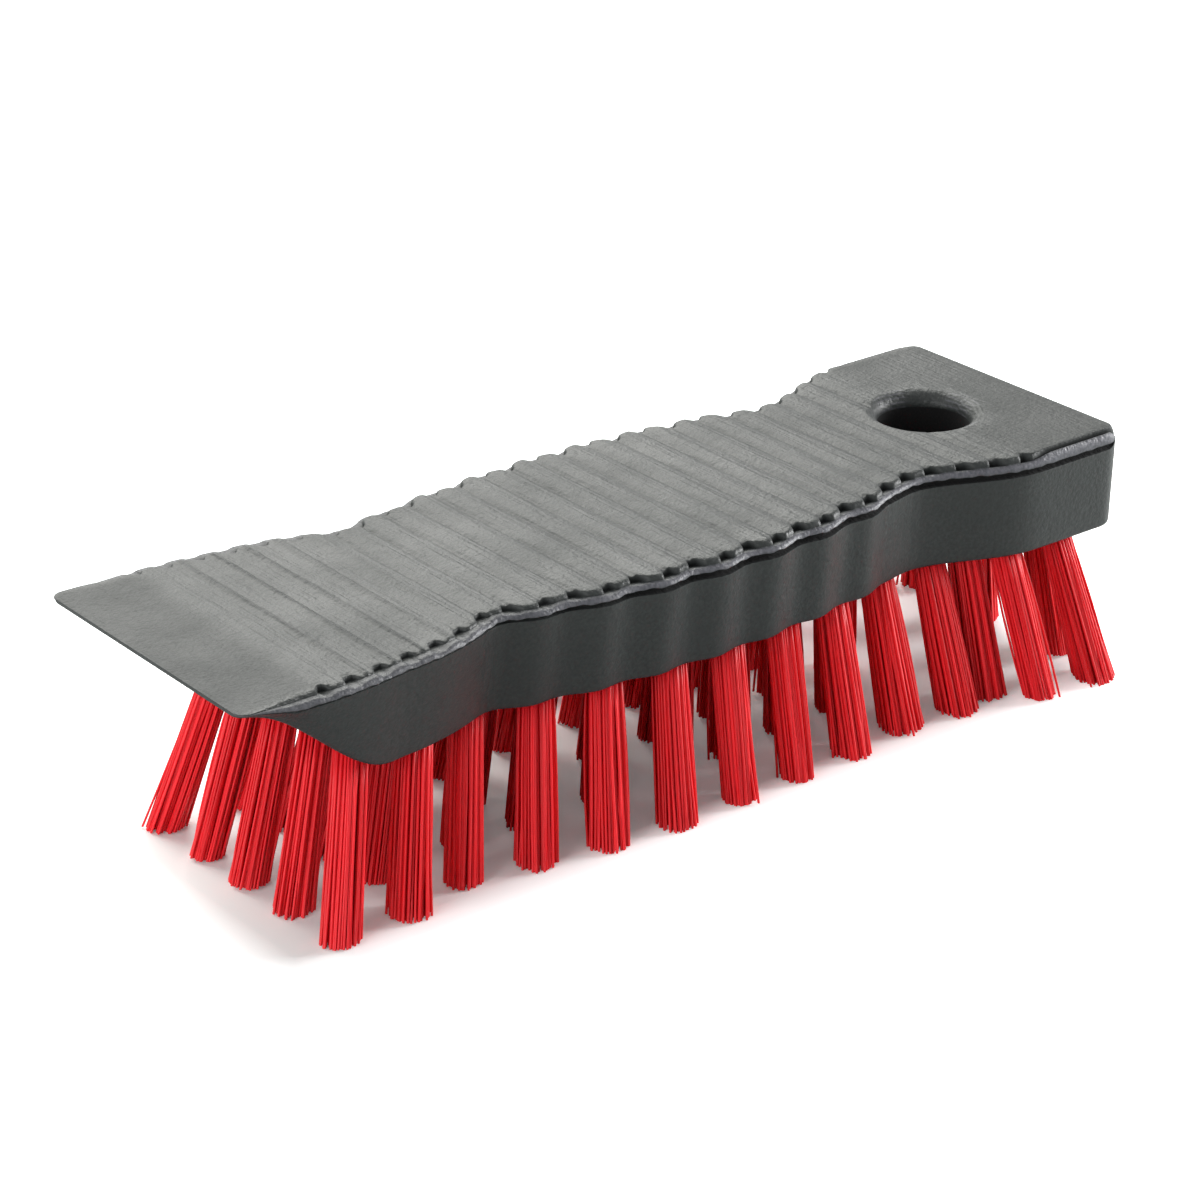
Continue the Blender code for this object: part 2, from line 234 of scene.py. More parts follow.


# The top edge: rounded tongues with notches between them, a ledge with a rim, and a groove over the wall.
# Where three values are given, they hold at the front flank, the grip and the rear land. A share of the
# depth runs from 0 at the pad to 1 at the wall. A tone is painted light and shade: 1 for a painted highlight
# and -1 for the painted shade of a groove.
edgeShape = {
    "drops": (2.1 * mm, 3.9 * mm, 4.3 * mm),  # how deep the whole edge is
    "dropShareOfThickness": 0.38,
    "rearLead": 0.25,  # how early the rear values begin, in rear swells
    "noseFade": 15.0 * mm,
    "noseRest": 0.06,  # what is left of the relief at the nose
    "endFade": 4.5 * mm,  # the relief gives way to a plain rounding at the rear end
    "endShare": 0.97,
    "wallInset": 0.2 * mm,
    "wallCrease": (1.4, 0.98, -0.6),  # wall insets, share of the depth, tone (painted shade in the crease)
    "grooveDepths": (0.2 * mm, 1.1 * mm, 1.0 * mm),
    "grooveCurve": ((0.65, 0.88), (1.0, 0.72), (1.0, 0.38), (0.6, 0.14)),  # shares of its depth and height
    "rimShares": (0.82, 0.6, 0.66),  # how far down the edge the rim reaches
    # From the rim's foot to the ledge: inset in mm, share of the way, how far over that, tone (painted
    # highlight on the rim)
    "rimCurve": ((0.08, 0.0, 0.0, 0.1), (0.0, 0.0, 0.05, 0.8), (0.12, 0.5, 0.0, 1.0),
                 (0.40, 0.85, 0.0, 1.0), (0.75, 1.0, 0.0, 0.6)),
    "rimSags": (0.4 * mm, 0.1 * mm, 0.05 * mm),  # how far the rim dips at a notch
    "rimWave": 0.16 * mm,
    "rimWaveLengths": (5.3 * mm, 3.1 * mm),
    "rimWaveReach": 0.1,
    "faintRim": 0.6,  # how much of the rim's painted highlight is left where there is no groove
    "ledgeShares": (0.34, 0.14),  # how deep the ledge lies along the ribs and along the rear land
    "ledgeFootShares": (0.42, 0.30),  # how deep it ends in a notch and under a tongue
    "ledgeCurve": ((0.35, 0.25), (0.8, 1.0)),  # shares of the way across it, and down with its tone
    "ledgeInsets": (2.0 * mm, 0.95 * mm, 0.95 * mm),
    # painted highlight on the ledge
    "ledgeTone": 0.5,
    "tongueInsets": (3.1 * mm, 2.1 * mm, 1.8 * mm),
    # painted highlight on the tongues
    "tongueTone": 0.3,
    "notchInsets": (4.3 * mm, 3.4 * mm, 2.9 * mm),
    "notchWallInset": 0.45 * mm,
    "notchShares": (0.42, 0.94),  # how much of the rib's crest the notch between two ribs takes
    "notchFade": 1.2 * mm,
    "notchShades": (0.05, 0.5),  # painted shade in the notches, without a groove and with the grip's groove
    # how strongly the painted shade darkens the notches
    "notchTone": 0.7,
    "landCrease": 0.45 * mm,  # the line between the rim and the rear land
    "landInsets": (1.7 * mm, 2.2 * mm),  # where that line's outer and inner sides lie
    # painted shade along the line between the rim and the rear land, and on the pad's slope beside it
    "landLineTone": -0.9,
    "landShade": 0.6,
}


def alongGrip(values, x):
    # A value that changes from the front flank to the grip, and again past the rear waist.
    front, grip, rear = values
    value = blend(front, grip, ease((x - place["front"]) / (place["belly"] - place["front"])))
    swell = (x - place["rearWaist"]) / blockShape["rearSwellLength"]
    return blend(value, rear, ease(swell + edgeShape["rearLead"]))


def tongueShare(x):
    # 1 on a rib's tongue and off the ribs, 0 in the notch between two ribs.
    low, high = edgeShape["notchShares"]
    share = ribShare(x)
    if share is not None:
        return ease((arch(share) - low) / (high - low))
    return ease(offRibs(x) / edgeShape["notchFade"])


def edgeProfile(brow, top, thick, x):
    # From the wall up over the groove, the rim and the ledge to the pad, as (y, z, tone), where a positive
    # tone is painted highlight and a negative one painted shade.
    edge = edgeShape
    tongue = tongueShare(x)
    plain = ease((x - place["end"] + edge["endFade"]) / edge["endFade"])
    rough = 1.0 - plain * edge["endShare"]
    reach = max(ease((x - place["nose"]) / edge["noseFade"]), edge["noseRest"])
    line = ease((x - place["lastRib"]) / place["ribPitch"]) * rough
    drop = blend(alongGrip(edge["drops"], x), blockShape["rearTopRadius"], plain)
    drop = min(drop, thick * edge["dropShareOfThickness"])
    groove = alongGrip(edge["grooveDepths"], x) * reach * rough
    strong = min(groove / edge["grooveDepths"][1], 1.0)
    foot, shelf = alongGrip(edge["rimShares"], x), blend(*edge["ledgeShares"], line)
    sag = alongGrip(edge["rimSags"], x) * (1.0 - tongue) * reach * rough

    def depthAt(share):
        return drop * (1.0 - (1.0 - share) * rough)

    turns = [2 * math.pi * x / length for length in edge["rimWaveLengths"]]
    wave = edge["rimWave"] * reach * rough * (math.sin(turns[0]) + math.sin(turns[1] + 1.0)) / 2.0
    wall, unit = edge["wallInset"] * reach * rough, mm * reach * rough
    crease, creaseShare, creaseTone = edge["wallCrease"]
    points = [(wall, 1.0, 0.0), (wall * crease, creaseShare, creaseTone)]
    for inset, share in edge["grooveCurve"]:
        # the groove gets the full painted shade
        points.append((wall + groove * inset, blend(foot, 1.0, share), -1.0))
    for inset, share, over, tone in edge["rimCurve"]:
        points.append((inset * unit, blend(foot, shelf, share) - over, tone))
    ring = []
    for inset, share, tone in points:
        near = abs(share - foot) < edge["rimWaveReach"]
        depth = depthAt(share) + (wave if near else 0.0)
        depth += sag * max(foot - share, 0.0) / (foot - shelf)
        # The painted shade fades where the groove fades, and the rim's painted highlight keeps a share
        # without a groove.
        tone *= (strong if tone < 0.0 else blend(edge["faintRim"], 1.0, strong)) * rough
        ring.append((brow - inset, top - depth, tone))

    pad = blend(alongGrip(edge["notchInsets"], x), alongGrip(edge["tongueInsets"], x), tongue) * reach
    ledge = blend(pad / reach - edge["notchWallInset"], alongGrip(edge["ledgeInsets"], x), tongue)
    ledge *= reach * rough
    ledge, pad = (blend(at, inset, line) for at, inset in zip((ledge, pad), edge["landInsets"]))
    pad = blend(pad, blockShape["rearTopRadius"], plain)
    low = blend(blend(*edge["ledgeFootShares"], tongue), shelf, line)
    low = depthAt(low) + sag + edge["landCrease"] * line
    # Painted shade in the notches, a painted highlight on the tongues, and painted shade along the line
    # before the rear land
    shade = blend(*edge["notchShades"], strong) * (1.0 - tongue) * rough
    tone = blend(edge["tongueTone"] * tongue - edge["notchTone"] * shade, edge["landLineTone"], line)
    rimInset, rimDepth = edge["rimCurve"][-1][0] * unit, depthAt(shelf) + sag
    for across, down in edge["ledgeCurve"]:
        inset, depth = blend(rimInset, ledge, across), blend(rimDepth, low, down)
        ring.append((brow - inset, top - depth, blend(edge["ledgeTone"], tone, down)))
    dip = padDip(x)
    # the pad's slope takes the painted shade of the notches or of the land line
    shade = max(shade, edge["landShade"] * line)
    for step in range(blockGrid["padSteps"] + 1):
        turn = step / blockGrid["padSteps"]
        angle = turn * math.pi / 2
        inset = pad - (pad - ledge) * math.cos(angle)
        depth = dip + (low - dip) * (1.0 - math.sin(angle))
        ring.append((brow - inset, top - depth, -shade * (1.0 - turn)))
    return ring, brow - pad, top - dip


def blockRing(x):
    # One half of a cross-section, from the middle of the underside to the middle of the top.
    bottom = place["underside"] + endDrop(x, blockShape["rearFootRadius"]) + noseRise(x)
    top = place["top"] - endDrop(x, blockShape["rearTopRadius"])
    thick = top - bottom
    foot = min(blockShape["footRadius"], thick * blockShape["footShareOfThickness"])
    footY = softOutline(x, blockShape["footHalfWidths"]) + scallop(x) - cornerInset(x)
    brow = softOutline(x, blockShape["browHalfWidths"]) + scallop(x) - cornerInset(x)
    half = [(footY * s, bottom, 0.0) for s in blockGrid["underShares"]] + [(footY - foot, bottom, 0.0)]
    for angle in (math.pi / 6, math.pi / 3, math.pi / 2):
        half.append((footY - foot * (1.0 - math.sin(angle)), bottom + foot * (1.0 - math.cos(angle)), 0.0))
    edge, padEdge, padTop = edgeProfile(brow, top, thick, x)
    wallY, wallTop = edge[0][:2]
    for share in blockGrid["wallShares"]:
        half.append((blend(footY, wallY, share), blend(bottom + foot, wallTop, share), 0.0))
    half += edge
    # painted shade on the plain lands at both ends
    land = gripShape["landTone"] * ease(offRibs(x) / place["ribPitch"] + gripShape["landToneLead"])
    half += [(padEdge * s, padTop, land) for s in blockGrid["topShares"]]
    return half


def blockStations():
    # Where the cross-sections stand: the nose's corners, its land, the ribs, the rear land and its corners.
    nose, rear = blockShape["noseCornerRadius"], blockShape["rearCornerRadius"]
    steps, count = blockGrid["cornerSections"], blockGrid["landSections"]
    turns = [math.pi / 2 * i / steps for i in range(steps + 1)]
    gap = place["ribPitch"] * blockGrid["landGap"]
    xs = [place["nose"] + nose * (1.0 - math.cos(t)) for t in turns]
    xs += list(np.linspace(place["nose"] + nose, place["firstRib"] - gap, count)[1:])
    steps = gripShape["ribCount"] * blockGrid["sectionsPerRib"]
    xs += [place["firstRib"] + (place["lastRib"] - place["firstRib"]) * i / steps for i in range(steps + 1)]
    xs += list(np.linspace(place["lastRib"] + gap, place["end"] - rear, count)[:-1])
    xs += [place["end"] - rear * (1.0 - math.cos(t)) for t in turns]
    return sorted(set(round(x, 8) for x in xs))


def blockMesh():
    xs = blockStations()
    rings, tones = [], []
    for x in xs:
        half = blockRing(x)
        whole = half + [(-y, z, tone) for y, z, tone in half[-2:0:-1]]
        rings.append([(x, y, z) for y, z, _ in whole])
        tones += [tone for _, _, tone in whole]
    count = len(rings[0])
    points = [p for ring in rings for p in ring]
    faces = []
    for i in range(len(rings) - 1):
        for j in range(count):
            k = (j + 1) % count
            faces.append((i * count + j, i * count + k, (i + 1) * count + k, (i + 1) * count + j))
    faces.append(tuple(range(count))[::-1])
    faces.append(tuple(range(len(points) - count, len(points))))
    mesh = bpy.data.meshes.new("block_body")
    mesh.from_pydata(points, [], faces)
    mesh.update()
    # the tones are painted light and shade, which the material turns into colour
    mesh.attributes.new("paintedLightAndShade", "FLOAT", "POINT").data.foreach_set("value", tones)
    unwrap(mesh, blockCorners(mesh))
    return mesh


# The square that the block's surfaces are laid out on, and the strips of that map
unwrapSheet = {
    "side": 250.0 * mm,
    "gap": 2.0 * mm,
    "endFacing": 0.8,  # a face belongs to an end, or to the top or underside, from these slopes on
    "levelFacing": 0.7,
    "holesPerStrip": 9,
    "holeGap": 0.5 * mm,
}


def addMap(mesh, corners):
    # A UV map named OFBake, with one (u, v) for each corner of each face.
    layer = mesh.uv_layers.new(name="OFBake")
    layer.data.foreach_set("uv", [value for corner in corners for value in corner])


def unwrap(mesh, corners):
    # Here the corners are in metres on the block's sheet.
    side = unwrapSheet["side"]
    addMap(mesh, [(u / side, v / side) for u, v in corners])


def sheetRows():
    # Where each strip of the map starts: the top, the underside, the two walls, the ends, the holes.
    width = 2.0 * max(blockShape["browHalfWidths"])
    height = place["top"] - place["underside"]
    rows, start = {}, unwrapSheet["gap"]
    for name, size in (("top", width), ("under", width), ("near", height), ("far", height), ("ends", height)):
        rows[name] = start
        start += size + unwrapSheet["gap"]
    rows["holes"] = start
    return rows


def blockCorners(mesh):
    # Each face is laid flat along the axis that it faces.
    rows, gap = sheetRows(), unwrapSheet["gap"]
    half = max(blockShape["browHalfWidths"])
    corners = []
    for face in mesh.polygons:
        facing = face.normal
        for corner in face.loop_indices:
            x, y, z = mesh.vertices[mesh.loops[corner].vertex_index].co
            along, up = x - place["nose"] + gap, z - place["underside"]
            if abs(facing.x) > unwrapSheet["endFacing"]:
                start = gap + (2.0 * half + gap if facing.x > 0.0 else 0.0)
                corners.append((y + half + start, up + rows["ends"]))
            elif abs(facing.z) > unwrapSheet["levelFacing"]:
                corners.append((along, y + half + rows["top" if facing.z > 0.0 else "under"]))
            else:
                corners.append((along, up + rows["far" if facing.y > 0.0 else "near"]))
    return corners


def addObject(name, data):
    made = bpy.data.objects.new(name, data)
    bpy.context.scene.collection.objects.link(made)
    return made


def boreCutter(name, bores, facets):
    # A bore is its rings, as (centre, radius) from below, and where its strip of the map starts.
    points, faces, corners = [], [], []
    for rings, u, v in bores:
        base = len(points)
        for (x, y, z), radius in rings:
            turns = [2 * math.pi * i / facets for i in range(facets)]
            points += [(x + radius * math.cos(t), y + radius * math.sin(t), z) for t in turns]
        step = 2 * math.pi * rings[0][1] / facets
        for i in range(len(rings) - 1):
            low, high = rings[i][0][2] - rings[0][0][2], rings[i + 1][0][2] - rings[0][0][2]
            for j in range(facets):
                a, b = base + i * facets, base + (i + 1) * facets
                k = (j + 1) % facets
                faces.append((a + j, a + k, b + k, b + j))
                corners += [(u + j * step, v + low), (u + (j + 1) * step, v + low)]
                corners += [(u + (j + 1) * step, v + high), (u + j * step, v + high)]
        for cap in (range(base + facets - 1, base - 1, -1), range(len(points) - facets, len(points))):
            faces.append(tuple(cap))
            corners += [(u, v)] * facets
    mesh = bpy.data.meshes.new(name)
    mesh.from_pydata(points, [], faces)
    unwrap(mesh, corners)
    return addObject(name, mesh)


def hangHoleBore():
    # A straight bore whose rounded rim opens to the top.
    radius, wide, deep = hangHole["diameter"] / 2, hangHole["rimWidth"], hangHole["rimDepth"]
    past = hangHole["cutterAbove"]
    rings = [(place["underside"] - hangHole["cutterBelow"], radius), (place["underside"] + past, radius)]
    for step in range(hangHole["rimSteps"] + 1):
        angle = math.pi / 2 * step / hangHole["rimSteps"]
        rings.append((place["top"] - deep + deep * math.sin(angle), radius + wide * (1.0 - math.cos(angle))))
    rings.append((place["top"] + past, radius + wide * hangHole["cutterFlare"]))
    ends = 4.0 * max(blockShape["browHalfWidths"]) + 3.0 * unwrapSheet["gap"]
    rings = [((place["hangHole"], 0.0, height), reach) for height, reach in rings]
    return rings, ends, sheetRows()["ends"]


def tuftBores():
    # A short blind hole for each tuft, along its axis.
    found = []
    start, radius, gap = sheetRows()["holes"], tuftShape["holeRadius"], unwrapSheet["holeGap"]
    below, deep = tuftShape["cutterBelow"], tuftShape["holeDepth"]
    for index, name in enumerate(tuftNames()):
        tip, root = tuftAxis(name)
        lean = (root - tip) / (root[2] - tip[2])
        mouth = place["underside"] + noseRise(root[0])
        rings = [(tuple(tip + lean * (z - tip[2])), radius) for z in (mouth - below, mouth + deep)]
        row, column = divmod(index, unwrapSheet["holesPerStrip"])
        u = gap + column * (2 * math.pi * radius + gap)
        found.append((rings, u, start + row * (deep + below + gap)))
    return found


def shadeBore(mesh):
    # The bore of the hang hole gets the full painted shade, darker than the rest of the moulding.
    out, up = hangHole["shadeMargins"]
    height = place["top"] - hangHole["rimDepth"] + up
    reach = hangHole["diameter"] / 2 + out
    for point, tone in zip(mesh.vertices, mesh.attributes["paintedLightAndShade"].data):
        x, y, z = point.co
        if z < height and math.hypot(x - place["hangHole"], y) < reach:
            tone.value = -1.0


def smoothFaces(mesh, sharpAngle):
    for face in mesh.polygons:
        face.use_smooth = True
    mesh.set_sharp_from_angle(angle=math.radians(sharpAngle))


def applyModifiers(piece):
    graph = bpy.context.evaluated_depsgraph_get()
    made = bpy.data.meshes.new_from_object(piece.evaluated_get(graph))
    piece.modifiers.clear()
    piece.data = made


def buildBlock():
    body = addObject("block_body", blockMesh())
    cutters = [boreCutter("hang_hole_cutter", [hangHoleBore()], hangHole["facets"])]
    cutters.append(boreCutter("tuft_hole_cutter", tuftBores(), tuftShape["holeFacets"]))
    for cutter in cutters:
        cut = body.modifiers.new(cutter.name, "BOOLEAN")
        cut.operation = "DIFFERENCE"
        cut.solver = "EXACT"
        cut.object = cutter
    applyModifiers(body)
    for cutter in cutters:
        bpy.data.objects.remove(cutter)
    shadeBore(body.data)
    smoothFaces(body.data, blockShape["sharpAngle"])
    print("block:", len(body.data.polygons), "faces")
    return body


# The tufts: each is a bundle of straight plastic filaments that fans out to an uneven trim
tuftShape = {
    "filaments": 165,
    "filamentRadius": 0.28 * mm,
    "sides": 5,
    "segments": 4,
    "sharpAngle": 80.0,
    "holeRadius": 3.6 * mm,
    "holeDepth": 2.8 * mm,
    "holeFacets": 28,
    "cutterBelow": 2.0 * mm,
    "rootRadius": 3.35 * mm,
    "rootDepth": 2.6 * mm,
    "tipRadius": 3.85 * mm,
    "tipRadiusShares": (0.88, 1.14),
    "trimDome": 0.5 * mm,
    "unevenTrim": 0.34 * mm,
    "turnStep": 2.39996,  # the golden angle spreads the filaments evenly over the tuft
    "turnSpread": 0.1,
    "wander": 0.14 * mm,
    "bow": 0.22 * mm,
    "strayShare": 0.02,
    "strayReach": 2.2 * mm,
    "strayShares": (0.4, 1.0),
    "firstSeed": 11000,
    "endSlice": 0.1 * mm,  # how much of the CAD tuft counts as its tip or its root
    "wideTips": {"tuft_1_09": 1.1, "tuft_1_10": 1.3, "tuft_1_11": 1.2, "tuft_1_13": 1.2, "tuft_2_08": 1.2,
                 "tuft_2_09": 1.2, "tuft_2_10": 1.2, "tuft_2_11": 1.2, "tuft_3_10": 1.2},
    # The tufts behind the nose stand a little nearer to it than their CAD nodes. Their roots are
    # moved less than their tips.
    "noseShifts": {"tuft_1_01": 0.4 * mm, "tuft_2_01": 0.8 * mm, "tuft_3_01": 1.6 * mm,
                   "tuft_4_01": 2.2 * mm, "tuft_5_01": 2.0 * mm},
    "rootShiftShare": 0.8,
}

# Each filament's cell of its tuft's map, in shares of the cell's side
filamentCell = {
    "margin": 0.06,
    "sidesWidth": 0.7,
    "sidesHeight": 0.88,
    "endsLeft": 0.8,
    "endHeights": (0.25, 0.75),
    "endRadius": 0.06,
}


def tuftNames():
    return sorted(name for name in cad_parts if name.startswith("tuft_"))


def tuftAxis(name):
    # The middle of the tips and of the folded root, read from the CAD node.
    points = np.array([v.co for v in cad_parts[name].data.vertices])
    heights = points[:, 2]
    tips = points[heights < heights.min() + tuftShape["endSlice"]]
    root = points[heights > heights.max() - tuftShape["endSlice"]]
    shift = tuftShape["noseShifts"].get(name, 0.0)
    tipShift = np.array([shift, 0.0, 0.0])
    rootShift = np.array([shift * tuftShape["rootShiftShare"], 0.0, 0.0])
    return tips.mean(axis=0) - tipShift, root.mean(axis=0) - rootShift


def tuftBundle(name, rng):
    # Where the tuft leaves its hole and ends, how far it fans out, and which way its trim tilts.
    shape = tuftShape
    tip, root = tuftAxis(name)
    tip[2] = cadBox[0].z
    mouth = place["underside"] + noseRise(root[0])
    start = tip + (root - tip) * (mouth + shape["rootDepth"] - tip[2]) / (root[2] - tip[2])
    share = rng.uniform(*shape["tipRadiusShares"])
    reach = shape["tipRadius"] * shape["wideTips"].get(name, share)
    tilted = rng.uniform(0.0, 2 * math.pi)
    return start, tip, reach, np.array([math.cos(tilted), math.sin(tilted), 0.0])


def filamentPath(rng, bundle, share, turn):
    # Points along one filament, from its hole to its tip.
    shape = tuftShape
    start, tip, reach, tilt = bundle
    spread = math.sqrt(share)
    side = np.array([math.cos(turn), math.sin(turn), 0.0])
    wander = [np.array([*rng.normal(size=2), 0.0]) * shape["wander"] for _ in range(2)]
    begin = start + side * spread * shape["rootRadius"]
    end = tip + side * spread * reach + wander[0]
    bow = side * shape["bow"] * rng.normal() + wander[1]
    if rng.random() < shape["strayShare"]:
        away = rng.uniform(0.0, 2 * math.pi)
        stray = np.array([math.cos(away), math.sin(away), 0.0]) * shape["strayReach"]
        end += stray * rng.uniform(*shape["strayShares"])
    lift = shape["unevenTrim"] * rng.random() ** 2 + shape["trimDome"] * share * (1.0 + side @ tilt) / 2
    end += (begin - end) * lift / (begin[2] - end[2])
    steps = np.linspace(0.0, 1.0, shape["segments"] + 1)
    return np.array([begin + (end - begin) * s + bow * 4.0 * s * (1.0 - s) for s in steps])


def insideBox(path):
    # The visual model stays inside the CAD box.
    low, high = cadBox
    radius = tuftShape["filamentRadius"]
    path[:, 0] = np.clip(path[:, 0], low.x + radius, high.x - radius)
    path[:, 1] = np.clip(path[:, 1], low.y + radius, high.y - radius)
    path[:, 2] = np.maximum(path[:, 2], low.z)
    return path


def addFilament(tuft, path, spin, tone):
    # A thin tube of rings along the path, closed at both ends.
    sides, radius, last = tuftShape["sides"], tuftShape["filamentRadius"], len(path) - 1
    points, faces = tuft["points"], tuft["faces"]
    base = len(points)
    turns = [spin + 2 * math.pi * s / sides for s in range(sides)]
    for ring, (x, y, z) in enumerate(path):
        points += [(x + radius * math.cos(t), y + radius * math.sin(t), z) for t in turns]
        tuft["heights"] += [1.0 - ring / last] * sides
        tuft["tones"] += [tone] * sides
    for ring in range(last):
        a, b = base + ring * sides, base + (ring + 1) * sides
        faces += [(a + s, b + s, b + (s + 1) % sides, a + (s + 1) % sides) for s in range(sides)]
    faces.append(tuple(range(base, base + sides)))
    faces.append(tuple(range(len(points) - sides, len(points)))[::-1])


def filamentCorners(index, columns):
    # The filament's sides unrolled, with its two end faces beside them.
    shape, cell = tuftShape, filamentCell
    row, column = divmod(index, columns)
    side = 1.0 / columns
    u, v = (column + cell["margin"]) * side, (row + cell["margin"]) * side
    wide, high = cell["sidesWidth"] * side, cell["sidesHeight"] * side
    corners = []
    for ring in range(shape["segments"]):
        low, top = v + high * ring / shape["segments"], v + high * (ring + 1) / shape["segments"]
        for s in range(shape["sides"]):
            near, far = u + wide * s / shape["sides"], u + wide * (s + 1) / shape["sides"]
            corners += [(near, low), (near, top), (far, top), (far, low)]
    wide = cell["endRadius"] * side
    turns = [2 * math.pi * s / shape["sides"] for s in range(shape["sides"])]
    for middle in cell["endHeights"]:
        left, foot = u + cell["endsLeft"] * side, v + middle * high
        corners += [(left + wide * math.cos(t), foot + wide * math.sin(t)) for t in turns]
    return corners


def buildTuft(name, index):
    shape = tuftShape
    rng = np.random.default_rng(shape["firstSeed"] + index)
    bundle = tuftBundle(name, rng)
    count = shape["filaments"]
    columns = math.ceil(math.sqrt(count))
    tuft = {"points": [], "faces": [], "tones": [], "heights": []}
    corners = []
    for i in range(count):
        turn = i * shape["turnStep"] + rng.normal() * shape["turnSpread"]
        path = insideBox(filamentPath(rng, bundle, (i + 0.5) / count, turn))
        addFilament(tuft, path, rng.uniform(0.0, 2 * math.pi), rng.random())
        corners += filamentCorners(i, columns)
    mesh = bpy.data.meshes.new(name + "_filaments")
    mesh.from_pydata(tuft["points"], [], tuft["faces"])
    addMap(mesh, corners)
    for title, values in (("filamentTone", tuft["tones"]), ("filamentHeight", tuft["heights"])):
        mesh.attributes.new(title, "FLOAT", "POINT").data.foreach_set("value", values)
    smoothFaces(mesh, shape["sharpAngle"])
    mesh.update()
    return addObject(name + "_filaments", mesh)


def link(tree, source, target):
    tree.links.new(source, target)


def setOrLink(tree, value, target):
    # A number or a colour is set on the socket, and another node's output is linked to it.
    if isinstance(value, (int, float, tuple)):
        target.default_value = value
    else:
        link(tree, value, target)


def node(tree, kind, **settings):
    made = tree.nodes.new(kind)
    for name, value in settings.items():
        setattr(made, name, value)
    return made


def mathNode(tree, operation, first, second=0.0):
    made = node(tree, "ShaderNodeMath", operation=operation)
    for at, value in enumerate((first, second)):
        setOrLink(tree, value, made.inputs[at])
    return made.outputs[0]


def noiseFactor(tree, scale, detail, vector=None):
    made = node(tree, "ShaderNodeTexNoise")
    made.inputs["Detail"].default_value = detail
    setOrLink(tree, scale, made.inputs["Scale"])
    link(tree, vector or node(tree, "ShaderNodeTexCoord").outputs["Object"], made.inputs["Vector"])
    return made.outputs["Fac"]


def mapRange(tree, value, fromRange, toRange=(0.0, 1.0)):
    # The node also holds the result within toRange.
    made = node(tree, "ShaderNodeMapRange")
    for name, number in zip(("From Min", "From Max", "To Min", "To Max"), (*fromRange, *toRange)):
        made.inputs[name].default_value = number
    link(tree, value, made.inputs["Value"])
    return made.outputs["Result"]


def mixColour(tree, factor, first, second):
    made = node(tree, "ShaderNodeMix", data_type="RGBA")
    link(tree, factor, made.inputs[0])
    for at, colour in ((6, first), (7, second)):
        setOrLink(tree, colour, made.inputs[at])
    return made.outputs[2]


def attribute(tree, name):
    return node(tree, "ShaderNodeAttribute", attribute_name=name).outputs["Fac"]


def newMaterial(name, specular):
    material = bpy.data.materials.new(name)
    material.use_nodes = True
    shader = material.node_tree.nodes["Principled BSDF"]
    shader.inputs["Specular IOR Level"].default_value = specular
    return material, material.node_tree, shader


# Spark-eroded grain in two sizes, and faint streaks across the brush left by cutting the mould.
# The scales are shares of the grain's own scale.
mouldGrain = {
    "fineDetail": 3.0,
    "coarseScale": 0.35,
    "coarseDetail": 2.0,
    "grainWeight": 0.6,
    "streakScale": 0.6,
    "streakStretch": (1.0, 0.06, 1.0),
    "streakDetail": 2.0,
    "streakWeight": 1.2,
    "levelFacing": (0.2, 0.8),  # the walls are smoother than the top, and these slopes lie between them
    "levelShares": (0.3, 1.0),
    "pitRange": (0.35, 0.7),
}


def mouldGrainGroup():
    look = mouldGrain
    tree = bpy.data.node_groups.new("mouldGrain", "ShaderNodeTree")
    scale = tree.interface.new_socket(name="Scale", in_out="INPUT", socket_type="NodeSocketFloat")
    scale.default_value = plasticLook["grainScale"]
    for name in ("Height", "Pits"):
        tree.interface.new_socket(name=name, in_out="OUTPUT", socket_type="NodeSocketFloat")
    given = node(tree, "NodeGroupInput").outputs["Scale"]
    out = node(tree, "NodeGroupOutput")
    fine = noiseFactor(tree, given, look["fineDetail"])
    coarseScale = mathNode(tree, "MULTIPLY", given, look["coarseScale"])
    coarse = noiseFactor(tree, coarseScale, look["coarseDetail"])
    stretch = node(tree, "ShaderNodeMapping")
    stretch.inputs["Scale"].default_value = look["streakStretch"]
    link(tree, node(tree, "ShaderNodeTexCoord").outputs["Object"], stretch.inputs["Vector"])
    streakScale = mathNode(tree, "MULTIPLY", given, look["streakScale"])
    streak = noiseFactor(tree, streakScale, look["streakDetail"], stretch.outputs[0])
    grain = mathNode(tree, "MULTIPLY", mathNode(tree, "ADD", fine, coarse), look["grainWeight"])
    whole = mathNode(tree, "ADD", grain, mathNode(tree, "MULTIPLY", streak, look["streakWeight"]))
    facing = node(tree, "ShaderNodeSeparateXYZ")
    link(tree, node(tree, "ShaderNodeNewGeometry").outputs["Normal"], facing.inputs[0])
    upright = mathNode(tree, "ABSOLUTE", facing.outputs[2])
    level = mapRange(tree, upright, look["levelFacing"], look["levelShares"])
    link(tree, mathNode(tree, "MULTIPLY", whole, level), out.inputs["Height"])
    link(tree, mapRange(tree, fine, look["pitRange"]), out.inputs["Pits"])
    return tree


plasticLook = {
    "dark": (0.011, 0.0135, 0.0132, 1.0),
    "light": (0.022, 0.0265, 0.0255, 1.0),
    "toneGain": 1.6,
    "rim": (0.125, 0.125, 0.145, 1.0),  # the painted highlight on the rim of the top edge
    # how the grain's pits break up the rim's painted highlight
    "rimHighlightSpeckle": (0.55, 1.0),
    # the colour of the painted shade: grooves, notches, the land line, the plain lands and the hang hole's
    # bore
    "groove": (0.0008, 0.0008, 0.001, 1.0),
    "grooveDullness": 1.2,
    "roughness": (0.40, 0.54),
    "specular": 0.36,
    "grainScale": 1500.0,
    "grainDepth": 0.0003,
    "mottleScale": 60.0,
    "mottleDetail": 5.0,
    "mottleRange": (0.25, 0.75),
}


